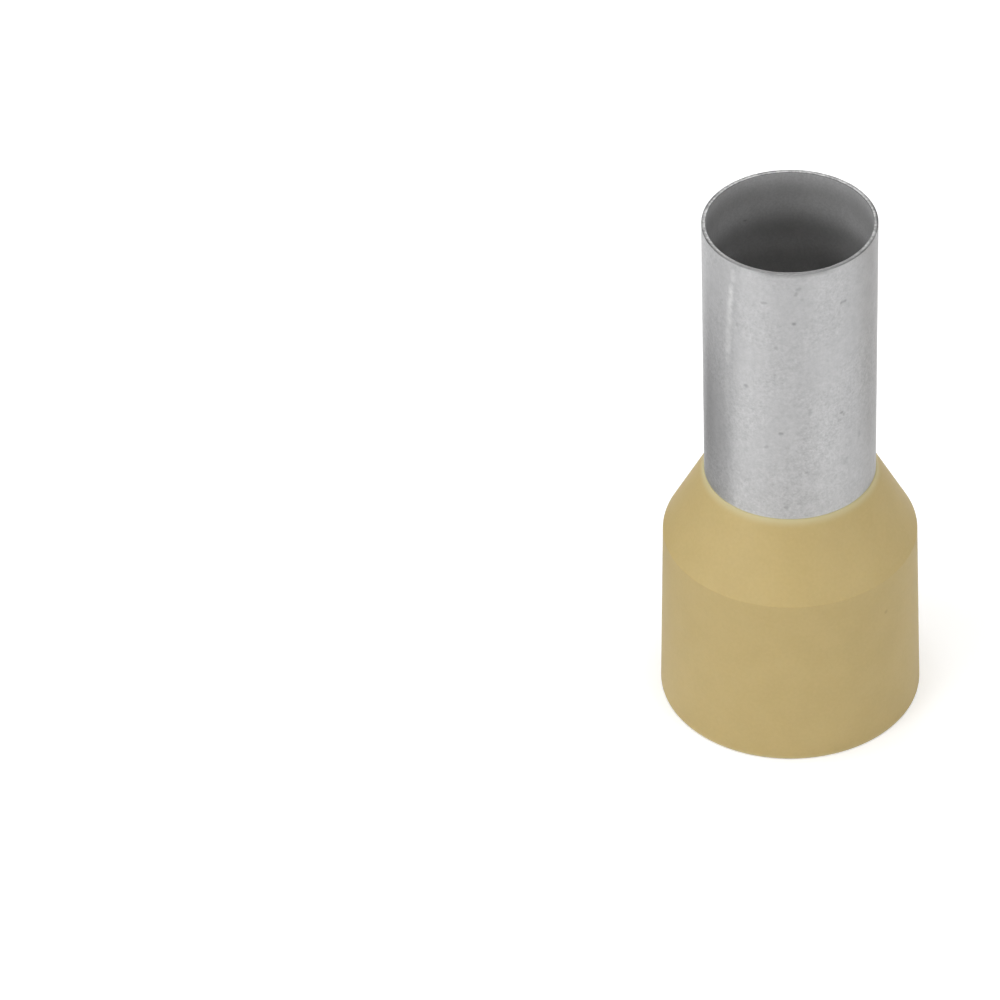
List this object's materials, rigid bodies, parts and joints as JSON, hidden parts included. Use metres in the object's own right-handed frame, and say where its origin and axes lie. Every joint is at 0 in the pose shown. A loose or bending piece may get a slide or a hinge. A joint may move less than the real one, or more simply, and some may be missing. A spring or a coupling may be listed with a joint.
{
  "type": "wire ferrule",
  "caption": "Insulated wire ferrule: a thin tinned tube that is crimped round a stripped stranded conductor, with a beige moulded collar that takes the cable's insulation.",
  "frame": {"origin": "centre of the collar's mouth, on the plane that the ferrule stands on", "axes": "+Z along the tube's axis, from the collar's mouth towards the bare tip; the part is round about Z, so X and Y are free"},
  "size_m": [0.0134, 0.0134, 0.0293],
  "materials": {
    "beige_plastic": "matte",
    "tinned_copper": "satin"
  },
  "bodies": {
    "root": {"insulating_collar": "beige_plastic", "metal_sleeve": "tinned_copper"}
  },
  "joints": []
}
